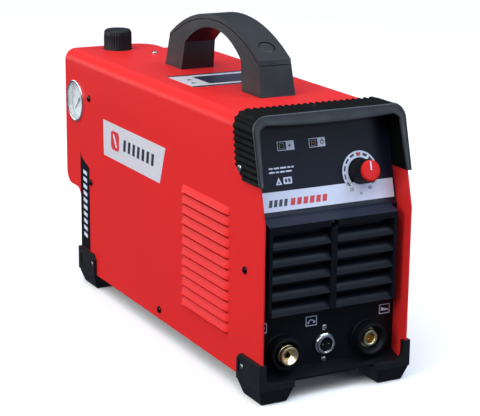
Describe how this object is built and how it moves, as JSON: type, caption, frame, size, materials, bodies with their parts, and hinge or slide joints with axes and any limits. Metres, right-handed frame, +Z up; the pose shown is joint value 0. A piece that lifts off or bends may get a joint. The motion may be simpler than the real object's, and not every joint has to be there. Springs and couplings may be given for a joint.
{
  "type": "plasma cutter",
  "caption": "Portable inverter plasma cutter: folded red case, ribbed hood over a sloping panel with a current knob, arched handle, corner feet, side gauge.",
  "frame": {"origin": "centre of the bounding box's base, on the plane that the feet stand on", "axes": "+Z up, front with the sockets facing -Y, +X to the right seen from the front"},
  "size_m": [0.1756, 0.5028, 0.3505],
  "materials": {
    "red_paint": "semi-gloss powder coat",
    "black_paint": "satin powder coat",
    "black_plastic": "finely textured moulding",
    "handle_plastic": "finely textured moulding",
    "foot_rubber": "matt",
    "overlay_film": "printed film, satin",
    "knob_black": "moulded",
    "knob_red": "moulded",
    "brass": "machined",
    "chrome": "plated",
    "screw_steel": "zinc plated",
    "aluminium": "die cast",
    "clear_plastic": "clear moulding",
    "dial_white": "printed",
    "needle_black": "matt",
    "led_green": "clear moulding",
    "led_amber": "clear moulding",
    "circuit_board": "solder mask",
    "winding": "enamelled copper",
    "ferrite": "sintered",
    "hose_rubber": "matt"
  },
  "bodies": {
    "case": {"air_inlet": "brass", "air_valve": "brass", "base_pan": "black_paint", "control_board": "circuit_board", "control_overlay": "overlay_film", "cord_gland": "black_plastic", "cover": "red_paint", "cover_screw_left_1": "screw_steel", "cover_screw_left_2": "screw_steel", "cover_screw_left_3": "screw_steel", "cover_screw_left_4": "screw_steel", "cover_screw_right_1": "screw_steel", "cover_screw_right_2": "screw_steel", "cover_screw_right_3": "screw_steel", "cover_screw_right_4": "screw_steel", "cover_screw_top": "screw_steel", "earth_socket_collar": "black_plastic", "earth_socket_contact": "brass", "fan_frame": "black_plastic", "foot_front_left": "foot_rubber", "foot_front_right": "foot_rubber", "foot_rear_left": "foot_rubber", "foot_rear_right": "foot_rubber", "front_panel": "black_plastic", "gauge_case": "chrome", "gauge_dial": "dial_white", "gauge_lens": "clear_plastic", "handle_body": "handle_plastic", "handle_grip": "handle_plastic", "handle_plug": "handle_plastic", "heatsink": "aluminium", "hood": "black_plastic", "hood_screw_left": "screw_steel", "hood_screw_right": "screw_steel", "hood_screw_top": "screw_steel", "led_fault": "led_amber", "led_power": "led_green", "output_choke": "winding", "pilot_socket": "chrome", "pilot_socket_insert": "black_plastic", "potentiometer": "screw_steel", "power_board": "circuit_board", "rear_panel": "black_paint", "regulator_body": "aluminium", "supply_hose": "hose_rubber", "switch_housing": "black_plastic", "torch_hose": "hose_rubber", "torch_socket_collar": "black_plastic", "torch_socket_fitting": "brass", "transformer": "ferrite"},
    "current_knob": {"current_knob": "knob_black", "current_knob_cap": "knob_red", "control_shaft": "screw_steel"},
    "regulator_spindle": {"regulator_spindle": "screw_steel"},
    "regulator_knob": {"regulator_knob": "black_plastic"},
    "gauge_needle": {"gauge_needle": "needle_black"},
    "fan_rotor": {"fan_rotor": "black_plastic"},
    "switch_rocker": {"switch_rocker": "black_plastic"},
    "filter_bowl": {"filter_bowl": "clear_plastic"},
    "drain_valve": {"drain_valve": "brass"}
  },
  "joints": [
    {"name": "current_knob_turn", "type": "hinge", "parent": "case", "child": "current_knob", "pos_m": [0.0426, -0.216, 0.217], "axis": [0, -0.9654, 0.2607], "range_deg": [-135, 135]},
    {"name": "regulator_turn", "type": "hinge", "parent": "case", "child": "regulator_spindle", "pos_m": [-0.027, 0.2229, 0.285], "axis": [0, 0, 1], "range_deg": [-360, 360]},
    {"name": "regulator_knob_lift", "type": "slide", "parent": "regulator_spindle", "child": "regulator_knob", "axis": [0, 0, 1], "range_m": [0, 0.003]},
    {"name": "gauge_needle_turn", "type": "hinge", "parent": "case", "child": "gauge_needle", "pos_m": [-0.084, 0.2199, 0.2215], "axis": [1, 0, 0], "range_deg": [0, 270]},
    {"name": "fan_spin", "type": "hinge", "parent": "case", "child": "fan_rotor", "pos_m": [0.02, 0.1704, 0.085], "axis": [0, 1, 0], "continuous": true},
    {"name": "mains_switch_rock", "type": "hinge", "parent": "case", "child": "switch_rocker", "pos_m": [0.045, 0.1839, 0.235], "axis": [1, 0, 0], "range_deg": [0, 18]},
    {"name": "filter_bowl_twist", "type": "hinge", "parent": "case", "child": "filter_bowl", "pos_m": [-0.027, 0.2229, 0.17], "axis": [0, 0, 1], "range_deg": [0, 40]},
    {"name": "drain_valve_push", "type": "slide", "parent": "filter_bowl", "child": "drain_valve", "axis": [0, 0, 1], "range_m": [0, 0.003], "stiffness_N_per_m": 150, "springref_m": -0.002}
  ]
}
